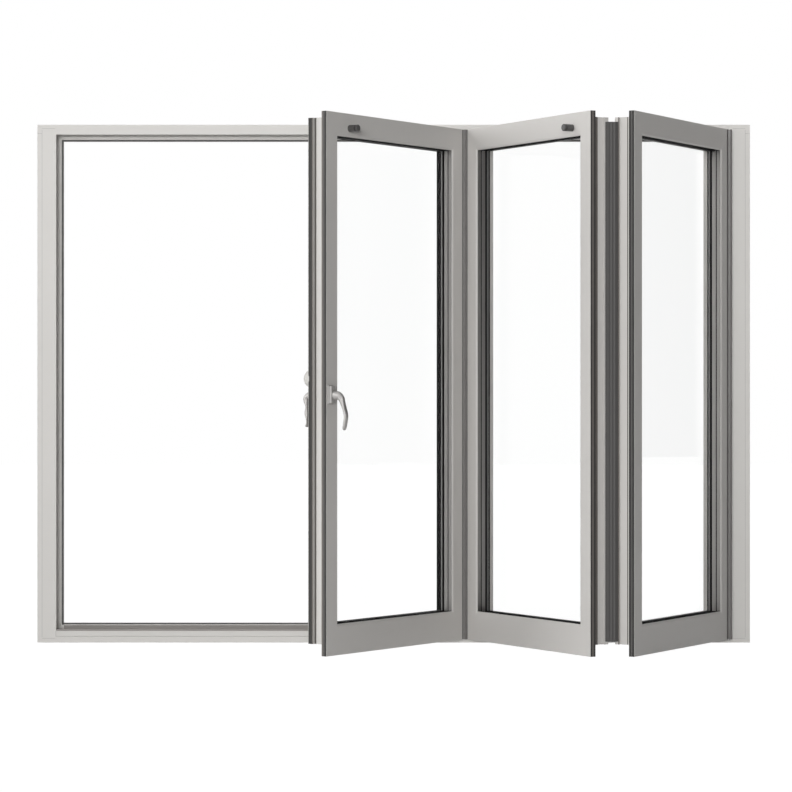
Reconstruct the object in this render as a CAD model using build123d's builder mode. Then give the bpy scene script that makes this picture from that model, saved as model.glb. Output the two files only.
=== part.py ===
"""Aluminium folding door: a fixed frame and three glazed leaves, folded partly open.

Millimetres. +Z is up, +X runs to the right along the frame and +Y points away from the
side that the leaves fold towards. The origin is at the middle of the sill's underside.
"""
import os
from math import cos, radians, sin

from build123d import *

# Fixed frame
frame_width = 2890.0
frame_height = 2100.0
frame_depth = 82.0
extension_width = 19.0
extension_height = 18.0
extension_lug = 38.0
jamb_face = 57.0
head_face = 21.5
leg_reach = 23.0
leg_front = 60.0
seal_groove_width = 7.0
seal_groove_depth = 3.0
seal_proud = 3.0
seal_bevel = 1.5
line_groove = 2.5
corner_recess = 4.0
corner_recess_depth = 6.0
sill_base_height = 18.6
sill_front_height = 24.5
sill_top_height = 49.0
sill_step = 1.5
sill_upstand_height = 75.0
sill_recess_height = 13.5
sill_recess_depth = 5.0

# Guides in the head and on the sill
guide_setback = 26.0
guide_width = 24.0
guide_depth = 16.0
guide_wall = 2.5
guide_slot = 8.0
rail_width = 9.0
rail_height = 4.0
rail_foot = 1.5
rail_bead = 3.0

# Leaf sections
leaf_depth = 82.0
flange_depth = 23.0
flange_bottom = 16.0
flange_top_over_head = 17.0
stile_face = 74.0
top_rail_face = 89.5
bottom_rail_face = 118.0
stile_lap = 9.0
top_lap = 23.0
bottom_lap = 44.0
leg_lap = 1.0
leaf_leg_depth = 18.0
edge_groove_width = 16.0
edge_groove_depth = 5.0
bevel_width = 7.0
bevel_depth = 4.0
reveal_groove_place = 19.0
reveal_groove_width = 4.5
reveal_groove_depth = 3.0
gasket_place = 40.0
gasket_depth = 6.0
gasket_proud = 1.5
glass_depth = 14.0
rear_gasket_depth = 3.0
rebate = 14.0
glass_edge_gap = 3.0
bead_bevel = 5.0

# How the three leaves stand
closed_gaps = 8.0
traffic_leaf_extra = 36.0
fold_angle = 60.3
traffic_angle = 55.3
front_hinge_proud = 8.0
front_hinge_gap = 5.0
flange_front = 25.0
rear_hinge_proud = 12.0
rear_hinge_gap = 3.0
jamb_hinge_clear = 5.7

# Hinges, seals and carriages
barrel_radius = 4.5
hinge_arm = 3.0
hinge_plate = 2.0
jamb_plate_reach = 46.0
fold_barrel_radius = 9.0
fold_hinge_height = 130.0
fold_hinge_plate = 4.0
fold_plate_width = 40.0
fold_hinge_end = 314.0
fold_seal_foot = 55.0
fold_seal_head = 40.5
fold_seal_setback = 4.0
fold_seal_root = 8.0
seal_thickness = 6.0
seal_clear = 2.5
carriage_arm_width = 16.0
carriage_arm_height = 10.0
carriage_pin_radius = 3.5
carriage_drop = 10.0
roller_radius = 7.0
roller_height = 7.0
roller_clear = 0.5

# Handle set on the traffic leaf
spindle_inset = 18.0
spindle_height = 1000.0
spindle_radius = 5.0
spindle_bore = 14.0
running_clear = 0.4
plate_width = 29.0
plate_height = 73.0
plate_rise = 5.0
plate_depth = 7.0
plate_corner = 3.0
plate_bevel = 1.5
boss_width = 24.0
boss_height = 66.0
boss_depth = 12.0
rear_plate_width = 29.0
rear_plate_height = 54.0
rear_plate_depth = 6.0
lever_root = 28.0
lever_thickness = 14.0
lever_width = 22.0
lever_neck_reach = 55.0
lever_bow_reach = 80.0
lever_bow_drop = 74.0
lever_tip_reach = 69.0
lever_tip_drop = 55.0
lever_elbow_radius = 20.0
lever_bow_radius = 60.0
rear_lever_root = 25.0
rear_lever_thickness = 12.0
rear_lever_width = 20.0
rear_neck_reach = 32.0
rear_grip_reach = 22.0
rear_bend_drop = 38.0
rear_grip_length = 80.0
rear_elbow_radius = 14.0
rear_bend_radius = 50.0
knob_inset = 36.0
knob_rise = 66.0
knob_radius = 37.0
knob_foot = 6.0

# Catches on the top rails
catch_inset = 150.0
middle_catch_inset = 125.0
catch_drop = 56.5
catch_radius = 13.5
catch_bevel = 2.0
catch_reach = 42.0
catch_body = 30.0
catch_groove = 3.0
catch_waist = 9.0

half_width = frame_width / 2
jamb_edge = extension_width + jamb_face
jamb_inner = half_width - jamb_edge
leg_edge = jamb_edge + leg_reach
head_edge = extension_height + head_face
head_underside = frame_height - head_edge
leg_underside = head_underside - leg_reach
flange_top = head_underside + flange_top_over_head
body_top = flange_top - top_lap
body_bottom = flange_bottom + bottom_lap
glass_top = flange_top - top_rail_face
glass_bottom = flange_bottom + bottom_rail_face
glass_place = gasket_place + gasket_depth
rear_gasket_place = glass_place + glass_depth
bead_place = rear_gasket_place + rear_gasket_depth

# Closed, the three leaves fill the frame's width; folded, two of them share the fold's axis
narrow_leaf_width = (2 * jamb_inner - closed_gaps - traffic_leaf_extra) / 3
wide_leaf_width = narrow_leaf_width + traffic_leaf_extra
fold_along = front_hinge_gap + narrow_leaf_width + rear_hinge_gap
fold_back = front_hinge_proud + leaf_depth + rear_hinge_proud
fold_reach = fold_along * cos(radians(fold_angle)) + fold_back * sin(radians(fold_angle))
jamb_hinge_x = jamb_inner - jamb_hinge_clear
meeting_hinge_x = jamb_hinge_x - 2 * fold_reach

# Places along a lever, and how much of its root's extra thickness is left there
lever_stations = ((0.0, 1.0), (0.1, 0.95), (0.2, 0.7), (0.33, 0.25), (0.47, 0.0), (0.72, 0.0),
                  (0.97, 0.0))
lever_tip_share = 0.7

plate_centre_height = spindle_height + plate_rise
lever_bow_height = spindle_height - lever_bow_drop
lever_tip_height = lever_bow_height - lever_tip_drop
rear_bend_height = spindle_height - rear_bend_drop
rear_tip_height = rear_bend_height - rear_grip_length
knob_height = spindle_height + knob_rise

frame_front = -frame_depth / 2
guide_y = frame_front + guide_setback
hinge_y = frame_front - flange_front - front_hinge_proud

os.makedirs("parts", exist_ok=True)


def save(piece, name):
    """Labels a finished piece and writes it to its own file."""
    piece.part.label = name
    export_step(piece.part, f"parts/{name}.step")


def frame_plan(z):
    """Horizontal plane at a height, with y measured back from the frame's front."""
    return Plane(origin=(0, frame_front, z), x_dir=(1, 0, 0), z_dir=(0, 0, 1))


def frame_section(x):
    """Upright plane across the frame, with y measured back from the frame's front."""
    return Plane(origin=(x, frame_front, 0), x_dir=(0, 1, 0), z_dir=(1, 0, 0))


def frame_elevation(depth):
    """Upright plane along the frame, at a depth behind the frame's front."""
    return Plane(origin=(0, frame_front + depth, 0), x_dir=(1, 0, 0), z_dir=(0, -1, 0))


def member_section(edge):
    """Outline of the jamb and head section: (distance from the outer edge, depth)."""
    tip = edge + leg_reach
    line = edge + corner_recess + (leg_reach - corner_recess - seal_groove_width - line_groove) / 2
    seal = tip - seal_groove_width
    return [
        (edge, leg_front + corner_recess_depth),
        (edge + corner_recess, leg_front + corner_recess_depth),
        (edge + corner_recess, leg_front),
        (line, leg_front),
        (line, leg_front + seal_groove_depth),
        (line + line_groove, leg_front + seal_groove_depth),
        (line + line_groove, leg_front),
        (seal, leg_front),
        (seal, leg_front + seal_groove_depth),
        (tip, leg_front + seal_groove_depth),
        (tip, frame_depth),
    ]


# Jambs, each one extrusion standing on the sill's base
jamb_outline = [(extension_width, 0), (jamb_edge, 0), *member_section(jamb_edge)]
jamb_outline.append((extension_width, frame_depth))
for side, name in ((-1, "left_jamb"), (1, "right_jamb")):
    with BuildPart() as jamb:
        with BuildSketch(frame_plan(sill_base_height)):
            Polygon(*[(side * (half_width - a), y) for a, y in jamb_outline], align=None)
        extrude(amount=frame_height - extension_height - sill_base_height)
    save(jamb, name)

# Head between the jambs, with its guide groove, notched round the jambs' rear legs
head_outline = [(0, extension_height), (0, head_edge)]
head_outline += [(guide_setback - guide_width / 2, head_edge)]
head_outline += [(guide_setback - guide_width / 2, head_edge - guide_depth)]
head_outline += [(guide_setback + guide_width / 2, head_edge - guide_depth)]
head_outline += [(guide_setback + guide_width / 2, head_edge)]
head_outline += [(y, a) for a, y in member_section(head_edge)]
head_outline += [(frame_depth, extension_height)]
with BuildPart() as head:
    with BuildSketch(frame_section(-jamb_inner)):
        Polygon(*[(y, frame_height - a) for y, a in head_outline], align=None)
    extrude(amount=2 * jamb_inner)
    with BuildSketch(frame_plan(leg_underside)):
        for side in (-1, 1):
            with Locations((side * (jamb_inner - leg_reach / 2), (leg_front + frame_depth) / 2)):
                Rectangle(leg_reach, frame_depth - leg_front)
    extrude(amount=frame_height, mode=Mode.SUBTRACT)
save(head, "head")

# Sill: a base under the jambs, a stepped front and an upstand behind the leaves
sill_seal = sill_upstand_height - seal_groove_width
with BuildPart() as sill:
    with BuildSketch(frame_section(-half_width)):
        Polygon((0, 0), (frame_depth, 0), (frame_depth, sill_base_height), (0, sill_base_height),
                align=None)
    extrude(amount=frame_width)
    with BuildSketch(frame_section(-jamb_inner)):
        Polygon((0, 0), (0, sill_front_height), (sill_step, sill_front_height),
                (sill_step, sill_top_height), (leg_front + sill_recess_depth, sill_top_height),
                (leg_front + sill_recess_depth, sill_top_height + sill_recess_height),
                (leg_front, sill_top_height + sill_recess_height), (leg_front, sill_seal),
                (leg_front + seal_groove_depth, sill_seal),
                (leg_front + seal_groove_depth, sill_upstand_height),
                (frame_depth, sill_upstand_height), (frame_depth, 0), align=None)
    extrude(amount=2 * jamb_inner)
    with BuildSketch(frame_plan(sill_base_height)):
        for side in (-1, 1):
            with Locations((side * (jamb_inner - leg_reach / 2), (leg_front + frame_depth) / 2)):
                Rectangle(leg_reach, frame_depth - leg_front)
    extrude(amount=sill_upstand_height, mode=Mode.SUBTRACT)
save(sill, "sill")

# Extension profiles round the outside of the jambs and head, with lugs at the top corners
lug_bottom = frame_height - extension_lug
with BuildPart() as head_extension:
    with BuildSketch(frame_elevation(0)):
        Polygon((-half_width, lug_bottom), (-half_width, frame_height),
                (half_width, frame_height), (half_width, lug_bottom),
                (half_width - extension_width, lug_bottom),
                (half_width - extension_width, frame_height - extension_height),
                (extension_width - half_width, frame_height - extension_height),
                (extension_width - half_width, lug_bottom), align=None)
    extrude(amount=-frame_depth)
save(head_extension, "head_extension")

for side, name in ((-1, "left_extension"), (1, "right_extension")):
    with BuildPart() as extension:
        with BuildSketch(frame_plan(sill_base_height)):
            with Locations((side * (half_width - extension_width / 2), frame_depth / 2)):
                Rectangle(extension_width, frame_depth)
        extrude(amount=lug_bottom - sill_base_height)
    save(extension, name)

# Seal in the groove along the tips of the rear legs
seal_side = half_width - leg_edge
seal_back = leg_front + seal_groove_depth
with BuildPart() as frame_seal:
    with BuildSketch(frame_elevation(leg_front - seal_proud)):
        Polygon((-seal_side - seal_groove_width, sill_seal),
                (-seal_side - seal_groove_width, leg_underside + seal_groove_width),
                (seal_side + seal_groove_width, leg_underside + seal_groove_width),
                (seal_side + seal_groove_width, sill_seal), align=None)
        Polygon((-seal_side, sill_upstand_height), (-seal_side, leg_underside),
                (seal_side, leg_underside), (seal_side, sill_upstand_height),
                align=None, mode=Mode.SUBTRACT)
    extrude(amount=-seal_proud - seal_groove_depth)
    chamfer(frame_seal.faces().sort_by(Axis.Y)[0].edges(), length=seal_bevel)
save(frame_seal, "frame_seal")

# Guide channel in the head, open downwards through its slot
channel_half = guide_width / 2
with BuildPart() as head_guide:
    with BuildSketch(frame_section(-jamb_inner + leg_reach)):
        Polygon((guide_setback - channel_half, head_underside),
                (guide_setback - channel_half, head_underside + guide_depth),
                (guide_setback + channel_half, head_underside + guide_depth),
                (guide_setback + channel_half, head_underside),
                (guide_setback + guide_slot / 2, head_underside),
                (guide_setback + guide_slot / 2, head_underside + guide_wall),
                (guide_setback + channel_half - guide_wall, head_underside + guide_wall),
                (guide_setback + channel_half - guide_wall,
                 head_underside + guide_depth - guide_wall),
                (guide_setback - channel_half + guide_wall,
                 head_underside + guide_depth - guide_wall),
                (guide_setback - channel_half + guide_wall, head_underside + guide_wall),
                (guide_setback - guide_slot / 2, head_underside + guide_wall),
                (guide_setback - guide_slot / 2, head_underside), align=None)
    extrude(amount=2 * (jamb_inner - leg_reach))
save(head_guide, "head_guide")

# Running rail on the sill
with BuildPart() as sill_rail:
    with BuildSketch(frame_section(leg_reach - jamb_inner)):
        Polygon((guide_setback - rail_width / 2, sill_top_height),
                (guide_setback - rail_width / 2, sill_top_height + rail_foot),
                (guide_setback - rail_bead / 2, sill_top_height + rail_foot),
                (guide_setback - rail_bead / 2, sill_top_height + rail_height),
                (guide_setback + rail_bead / 2, sill_top_height + rail_height),
                (guide_setback + rail_bead / 2, sill_top_height + rail_foot),
                (guide_setback + rail_width / 2, sill_top_height + rail_foot),
                (guide_setback + rail_width / 2, sill_top_height), align=None)
    extrude(amount=2 * (jamb_inner - leg_reach))
save(sill_rail, "sill_rail")


class Leaf:
    """Place and planes of one leaf, seen from its front: u to the right, t to the rear."""

    def __init__(self, name, width, angle, hinge, hinge_on_right):
        turn = radians(angle)
        self.name = name
        self.width = width
        self.u = Vector(cos(turn), sin(turn), 0) if hinge_on_right else Vector(cos(turn), -sin(turn), 0)
        self.t = Vector(-self.u.Y, self.u.X, 0)
        if hinge_on_right:
            corner = hinge - self.u * front_hinge_gap + self.t * front_hinge_proud
            self.origin = corner - self.u * width
        else:
            self.origin = hinge + self.u * front_hinge_gap + self.t * front_hinge_proud

    def at(self, u, t, z=0.0):
        return self.origin + self.u * u + self.t * t + Vector(0, 0, z)

    def plan(self, z=0.0):
        return Plane(origin=self.at(0, 0, z), x_dir=self.u, z_dir=(0, 0, 1))

    def elevation(self, t=0.0):
        return Plane(origin=self.at(0, t), x_dir=self.u, z_dir=-self.t)

    def cross(self, u=0.0):
        return Plane(origin=self.at(u, 0), x_dir=self.t, z_dir=self.u)


jamb_hinge_axis = Vector(jamb_hinge_x, hinge_y, 0)
meeting_hinge_axis = Vector(meeting_hinge_x, hinge_y, 0)
traffic = Leaf("traffic_leaf", wide_leaf_width, traffic_angle, meeting_hinge_axis, True)
middle = Leaf("middle_leaf", narrow_leaf_width, fold_angle, meeting_hinge_axis, False)
end = Leaf("end_leaf", narrow_leaf_width, fold_angle, jamb_hinge_axis, True)


def sash_section(face, lap, leg, groove):
    """Outline of a stile or rail: (distance in from the flange's edge, depth)."""
    leg_start = leaf_depth - leaf_leg_depth
    groove_start = leg_start - edge_groove_width
    outline = [
        (0, 0),
        (face - bevel_width, 0),
        (face, bevel_depth),
        (face, reveal_groove_place),
        (face - reveal_groove_depth, reveal_groove_place),
        (face - reveal_groove_depth, reveal_groove_place + reveal_groove_width),
        (face, reveal_groove_place + reveal_groove_width),
        (face, gasket_place),
        (face - rebate, gasket_place),
        (face - rebate, leaf_depth),
    ]
    if leg:
        outline += [(leg_lap, leaf_depth), (leg_lap, leg_start), (lap, leg_start)]
    else:
        outline += [(lap, leaf_depth), (lap, leg_start)]
    if groove:
        outline += [(lap + edge_groove_depth, leg_start), (lap + edge_groove_depth, groove_start)]
        outline += [(lap, groove_start)]
    outline += [(lap, flange_depth), (0, flange_depth)]
    return outline


def build_stile(leaf, right, name, lock):
    """A stile: its section extruded upwards, mitred and notched under the flange's ends."""
    place = (lambda a: leaf.width - a) if right else (lambda a: a)
    with BuildPart() as stile:
        with BuildSketch(leaf.plan(flange_bottom)):
            Polygon(*[(place(a), t) for a, t in sash_section(stile_face, stile_lap, True, lock)],
                    align=None)
        extrude(amount=flange_top - flange_bottom)
        with BuildSketch(leaf.elevation()):
            Polygon((place(0), flange_bottom), (place(stile_face), glass_bottom),
                    (place(stile_face), glass_top), (place(0), flange_top), align=None)
        extrude(amount=-leaf_depth, mode=Mode.INTERSECT)
        with BuildSketch(leaf.elevation(flange_depth)):
            Polygon((place(0), flange_bottom), (place(stile_face), flange_bottom),
                    (place(stile_face), body_bottom), (place(0), body_bottom), align=None)
            Polygon((place(0), body_top), (place(stile_face), body_top),
                    (place(stile_face), flange_top), (place(0), flange_top), align=None)
        extrude(amount=flange_depth - leaf_depth, mode=Mode.SUBTRACT)
        if lock:
            with BuildSketch(leaf.elevation()):
                with Locations((place(spindle_inset), spindle_height)):
                    Circle(spindle_bore / 2)
            extrude(amount=-leaf_depth, mode=Mode.SUBTRACT)
    save(stile, name)


def build_rail(leaf, top, name):
    """A top or bottom rail: its section extruded along the leaf and mitred."""
    face = top_rail_face if top else bottom_rail_face
    lap = top_lap if top else bottom_lap
    edge = flange_top if top else flange_bottom
    sight = glass_top if top else glass_bottom
    inward = -1 if top else 1
    with BuildPart() as rail:
        with BuildSketch(leaf.cross()):
            Polygon(*[(t, edge + inward * a) for a, t in sash_section(face, lap, False, True)],
                    align=None)
        extrude(amount=leaf.width)
        with BuildSketch(leaf.elevation()):
            Polygon((0, edge), (leaf.width, edge), (leaf.width - stile_face, sight),
                    (stile_face, sight), align=None)
        extrude(amount=-leaf_depth, mode=Mode.INTERSECT)
    save(rail, name)


def sight_rectangle(leaf, spread):
    """The glazing opening's corners, spread outwards on every side."""
    left = stile_face - spread
    right = leaf.width - stile_face + spread
    return [(left, glass_bottom - spread), (left, glass_top + spread),
            (right, glass_top + spread), (right, glass_bottom - spread)]


def build_glazing(leaf):
    """The glass unit, its two gaskets and the bead that holds it from the rear."""
    with BuildPart() as glass:
        with BuildSketch(leaf.elevation(glass_place)):
            Polygon(*sight_rectangle(leaf, rebate - glass_edge_gap), align=None)
        extrude(amount=-glass_depth)
    save(glass, f"{leaf.name}_glass")
    with BuildPart() as gasket:
        with BuildSketch(leaf.elevation(gasket_place)):
            Polygon(*sight_rectangle(leaf, rebate), align=None)
            Polygon(*sight_rectangle(leaf, -gasket_proud), align=None, mode=Mode.SUBTRACT)
        extrude(amount=-gasket_depth)
        with BuildSketch(leaf.elevation(rear_gasket_place)):
            Polygon(*sight_rectangle(leaf, rebate), align=None)
            Polygon(*sight_rectangle(leaf, -gasket_proud), align=None, mode=Mode.SUBTRACT)
        extrude(amount=-rear_gasket_depth)
    save(gasket, f"{leaf.name}_gaskets")
    with BuildPart() as bead:
        with BuildSketch(leaf.elevation(bead_place)):
            Polygon(*sight_rectangle(leaf, rebate), align=None)
            Polygon(*sight_rectangle(leaf, 0), align=None, mode=Mode.SUBTRACT)
        extrude(amount=bead_place - leaf_depth)
        rear = bead.faces().sort_by(Axis(leaf.at(0, 0), leaf.t))[-1]
        chamfer(rear.inner_wires()[0].edges(), length=bead_bevel)
    save(bead, f"{leaf.name}_bead")


for leaf, hinge_on_right in ((traffic, True), (middle, False), (end, True)):
    build_stile(leaf, hinge_on_right, f"{leaf.name}_hinge_stile", False)
    build_stile(leaf, not hinge_on_right, f"{leaf.name}_near_stile", leaf is traffic)
    build_rail(leaf, True, f"{leaf.name}_top_rail")
    build_rail(leaf, False, f"{leaf.name}_bottom_rail")
    build_glazing(leaf)


def hinge_wing(leaf, right, hinge):
    """Outline of a hinge wing from the barrel to a plate on a flange's end."""
    edge = leaf.width if right else 0.0
    outward = 1 if right else -1
    near = leaf.at(edge, hinge_plate)
    far = leaf.at(edge, flange_depth - hinge_plate)
    tip_far = leaf.at(edge + outward * hinge_plate, flange_depth - hinge_plate)
    tip_near = leaf.at(edge + outward * hinge_plate, hinge_arm + hinge_plate)
    root_a = hinge + leaf.u * (outward * hinge_arm / 2)
    root_b = hinge - leaf.u * (outward * hinge_arm / 2)
    return [(p.X, p.Y) for p in (near, far, tip_far, tip_near, root_a, root_b)]


flange_height = flange_top - flange_bottom
with BuildPart() as meeting_hinge:
    with BuildSketch(Plane.XY.offset(flange_bottom)):
        with Locations((meeting_hinge_x, hinge_y)):
            Circle(barrel_radius)
        Polygon(*hinge_wing(traffic, True, meeting_hinge_axis), align=None)
        Polygon(*hinge_wing(middle, False, meeting_hinge_axis), align=None)
    extrude(amount=flange_height)
save(meeting_hinge, "meeting_hinge")

with BuildPart() as jamb_hinge:
    with BuildSketch(Plane.XY.offset(flange_bottom)):
        with Locations((jamb_hinge_x, hinge_y)):
            Circle(barrel_radius)
        Polygon(*hinge_wing(end, True, jamb_hinge_axis), align=None)
        Polygon((jamb_hinge_x - hinge_arm / 2, hinge_y), (jamb_hinge_x + hinge_arm / 2, hinge_y),
                (jamb_inner, hinge_y + barrel_radius + hinge_arm),
                (jamb_inner, frame_front + jamb_plate_reach),
                (jamb_inner - hinge_arm, frame_front + jamb_plate_reach),
                (jamb_inner - hinge_arm, hinge_y + barrel_radius + 2 * hinge_arm), align=None)
    extrude(amount=flange_height)
    with BuildSketch(Plane.XY):
        with Locations((jamb_inner, 0)):
            Rectangle(4 * hinge_arm, frame_depth)
    extrude(amount=sill_top_height, mode=Mode.SUBTRACT)
    with BuildSketch(Plane.XY.offset(head_underside)):
        with Locations((jamb_inner, 0)):
            Rectangle(4 * hinge_arm, frame_depth)
    extrude(amount=frame_height, mode=Mode.SUBTRACT)
save(jamb_hinge, "jamb_hinge")

# Hinges on the rear of the fold between the middle and end leaves
fold_axis = middle.at(middle.width + rear_hinge_gap, leaf_depth + rear_hinge_proud)


def rear_plate(leaf, edge, outward):
    """Outline of a hinge plate on a leaf's rear face, and its knuckle arm to the axis."""
    inner = edge - outward * (fold_plate_width + leg_lap)
    outer = edge - outward * leg_lap
    plate_back = leaf_depth + fold_hinge_plate
    points = (leaf.at(inner, leaf_depth), leaf.at(outer, leaf_depth), fold_axis,
              leaf.at(edge - outward * 2 * fold_barrel_radius, plate_back),
              leaf.at(inner, plate_back))
    return [(p.X, p.Y) for p in points]


low_hinge = flange_bottom + fold_hinge_end
high_hinge = flange_top - fold_hinge_end
with BuildPart() as fold_hinges:
    for centre in (low_hinge, (low_hinge + high_hinge) / 2, high_hinge):
        with BuildSketch(Plane.XY.offset(centre - fold_hinge_height / 2)):
            with Locations((fold_axis.X, fold_axis.Y)):
                Circle(fold_barrel_radius)
            Polygon(*rear_plate(middle, middle.width, 1), align=None)
            Polygon(*rear_plate(end, 0.0, -1), align=None)
        extrude(amount=fold_hinge_height)
save(fold_hinges, "fold_hinges")

# Bellows seal between the two rear legs at the fold
seal_start = leaf_depth - leaf_leg_depth + fold_seal_setback
seal_end = seal_start + fold_seal_root
left_front = middle.at(middle.width - leg_lap, seal_start)
left_rear = middle.at(middle.width - leg_lap, seal_end)
right_front = end.at(leg_lap, seal_start)
right_rear = end.at(leg_lap, seal_end)
seal_rear_y = fold_axis.Y - fold_barrel_radius - seal_clear
seal_front_y = seal_rear_y - seal_thickness
fold_quarter = (right_front.X - left_front.X) / 4
with BuildPart() as fold_seal:
    with BuildSketch(Plane.XY.offset(flange_bottom + fold_seal_foot)):
        Polygon((left_front.X, left_front.Y), (fold_axis.X - fold_quarter, seal_front_y),
                (fold_axis.X - fold_quarter / 2, seal_front_y + seal_clear),
                (fold_axis.X, seal_front_y), (fold_axis.X + fold_quarter / 2, seal_front_y + seal_clear),
                (fold_axis.X + fold_quarter, seal_front_y), (right_front.X, right_front.Y),
                (right_rear.X, right_rear.Y), (fold_axis.X + fold_barrel_radius, seal_rear_y),
                (fold_axis.X - fold_barrel_radius, seal_rear_y), (left_rear.X, left_rear.Y),
                align=None)
    extrude(amount=flange_height - fold_seal_foot - fold_seal_head)
save(fold_seal, "fold_seal")


def build_carriage(name, arm_bottom, pin_bottom, pin_top, roller_bottom):
    """An arm from the meeting hinge's barrel back to a pin and roller in the guide."""
    with BuildPart() as carriage:
        arm_front = hinge_y + barrel_radius + hinge_arm
        with BuildSketch(Plane.XY.offset(arm_bottom)):
            with Locations((meeting_hinge_x, (arm_front + guide_y) / 2)):
                Rectangle(carriage_arm_width, guide_y - arm_front)
            with Locations((meeting_hinge_x, guide_y)):
                Circle(carriage_arm_width / 2)
        extrude(amount=carriage_arm_height)
        with BuildSketch(Plane.XY.offset(pin_bottom)):
            with Locations((meeting_hinge_x, guide_y)):
                Circle(carriage_pin_radius)
        extrude(amount=pin_top - pin_bottom)
        with BuildSketch(Plane.XY.offset(roller_bottom)):
            with Locations((meeting_hinge_x, guide_y)):
                Circle(roller_radius)
        extrude(amount=roller_height)
    save(carriage, name)


top_arm = head_underside - carriage_drop - carriage_arm_height
roller_place = head_underside + guide_wall + roller_clear
build_carriage("top_carriage", top_arm, top_arm, roller_place + roller_height, roller_place)
rail_top = sill_top_height + rail_height
bottom_arm = rail_top + roller_height + carriage_drop
build_carriage("bottom_carriage", bottom_arm, rail_top, bottom_arm, rail_top)

# Handle plates on both faces of the traffic leaf's near stile
front_boss = plate_depth + boss_depth
with BuildPart() as front_handle_plate:
    with BuildSketch(traffic.elevation()):
        with Locations((spindle_inset, plate_centre_height)):
            RectangleRounded(plate_width, plate_height, plate_corner)
    extrude(amount=plate_depth)
    with BuildSketch(traffic.elevation(-plate_depth)):
        with Locations((spindle_inset, plate_centre_height)):
            RectangleRounded(boss_width, boss_height, plate_corner)
    extrude(amount=boss_depth)
    front_face = front_handle_plate.faces().sort_by(Axis(traffic.at(0, 0), -traffic.t))[-1]
    chamfer(front_face.edges(), length=plate_bevel)
    with BuildSketch(traffic.elevation()):
        with Locations((spindle_inset, spindle_height)):
            Circle(spindle_radius + running_clear)
    extrude(amount=front_boss, mode=Mode.SUBTRACT)
save(front_handle_plate, "front_handle_plate")

with BuildPart() as rear_handle_plate:
    with BuildSketch(traffic.elevation(leaf_depth)):
        with Locations((spindle_inset, spindle_height)):
            RectangleRounded(rear_plate_width, rear_plate_height, plate_corner)
    extrude(amount=-rear_plate_depth)
    back_face = rear_handle_plate.faces().sort_by(Axis(traffic.at(0, 0), traffic.t))[-1]
    chamfer(back_face.edges(), length=plate_bevel)
    with BuildSketch(traffic.elevation(leaf_depth)):
        with Locations((spindle_inset, spindle_height)):
            Circle(spindle_radius + running_clear)
    extrude(amount=-rear_plate_depth, mode=Mode.SUBTRACT)
save(rear_handle_plate, "rear_handle_plate")

# Side view of the handle set: x is the distance in front of the leaf's front face
handle_side = Plane(origin=traffic.at(spindle_inset, 0), x_dir=-traffic.t, z_dir=-traffic.u)


def build_lever(name, points, radii, root, thickness, width):
    """A bowed lever: ovals that shrink from a thick root to a rounded tip, lofted on a path."""
    with BuildPart() as lever:
        with BuildLine(handle_side) as path:
            FilletPolyline(*points, radius=radii)
        spine = path.wire()
        for place, share in lever_stations:
            height = thickness + share * (root - thickness)
            with BuildSketch(Plane(origin=spine @ place, x_dir=traffic.u, z_dir=spine % place)):
                Ellipse(width / 2, height / 2)
        with BuildSketch(Plane(origin=spine @ 1, x_dir=traffic.u, z_dir=spine % 1)):
            Ellipse(lever_tip_share * width / 2, lever_tip_share * thickness / 2)
        loft()
    save(lever, name)


front_start = front_boss + running_clear
rear_start = -leaf_depth - rear_plate_depth - running_clear
build_lever("front_lever",
            [(front_start, spindle_height), (lever_neck_reach, spindle_height),
             (lever_bow_reach, lever_bow_height), (lever_tip_reach, lever_tip_height)],
            [lever_elbow_radius, lever_bow_radius], lever_root, lever_thickness, lever_width)
build_lever("rear_lever",
            [(rear_start, spindle_height), (-leaf_depth - rear_neck_reach, spindle_height),
             (-leaf_depth - rear_grip_reach, rear_bend_height),
             (-leaf_depth - rear_grip_reach, rear_tip_height)],
            [rear_elbow_radius, rear_bend_radius], rear_lever_root, rear_lever_thickness,
            rear_lever_width)

# Spindle between the two levers
with BuildPart() as handle_spindle:
    with BuildSketch(traffic.elevation(-front_start)):
        with Locations((spindle_inset, spindle_height)):
            Circle(spindle_radius)
    extrude(amount=rear_start - front_start)
save(handle_spindle, "handle_spindle")

# Domed pull knob on the rear of the near stile
knob_plane = Plane(origin=traffic.at(knob_inset, leaf_depth, knob_height), x_dir=traffic.u,
                   z_dir=(0, 0, 1))
with BuildPart() as rear_knob:
    with BuildSketch(knob_plane):
        with BuildLine():
            Line((0, 0), (knob_radius, 0))
            Line((knob_radius, 0), (knob_radius, knob_foot))
            CenterArc((0, knob_foot), knob_radius, 0, 90)
            Line((0, knob_foot + knob_radius), (0, 0))
        make_face()
    revolve(axis=Axis(knob_plane.origin, traffic.t))
save(rear_knob, "rear_knob")


def build_catch(leaf, inset, name):
    """A round catch on a top rail: a body, a waist and a rounded head."""
    catch_plane = Plane(origin=leaf.at(inset, 0, flange_top - catch_drop), x_dir=leaf.u,
                        z_dir=(0, 0, -1))
    with BuildPart() as catch:
        with BuildSketch(catch_plane):
            with BuildLine():
                Polyline((0, 0), (catch_radius, 0), (catch_radius, catch_body),
                         (catch_waist, catch_body), (catch_waist, catch_body + catch_groove),
                         (catch_radius, catch_body + catch_groove),
                         (catch_radius, catch_reach - catch_bevel),
                         (catch_radius - catch_bevel, catch_reach), (0, catch_reach), (0, 0))
            make_face()
        revolve(axis=Axis(catch_plane.origin, -leaf.t))
    save(catch, name)


build_catch(traffic, catch_inset, "traffic_leaf_catch")
build_catch(middle, middle.width - middle_catch_inset, "middle_leaf_catch")
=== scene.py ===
"""Looks of a light grey aluminium folding door with three glazed leaves, folded partly open.

Metres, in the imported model's own frame: X along the frame, Y to the rear, Z up. Tables that
say so hold millimetres.
"""
import math

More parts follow.
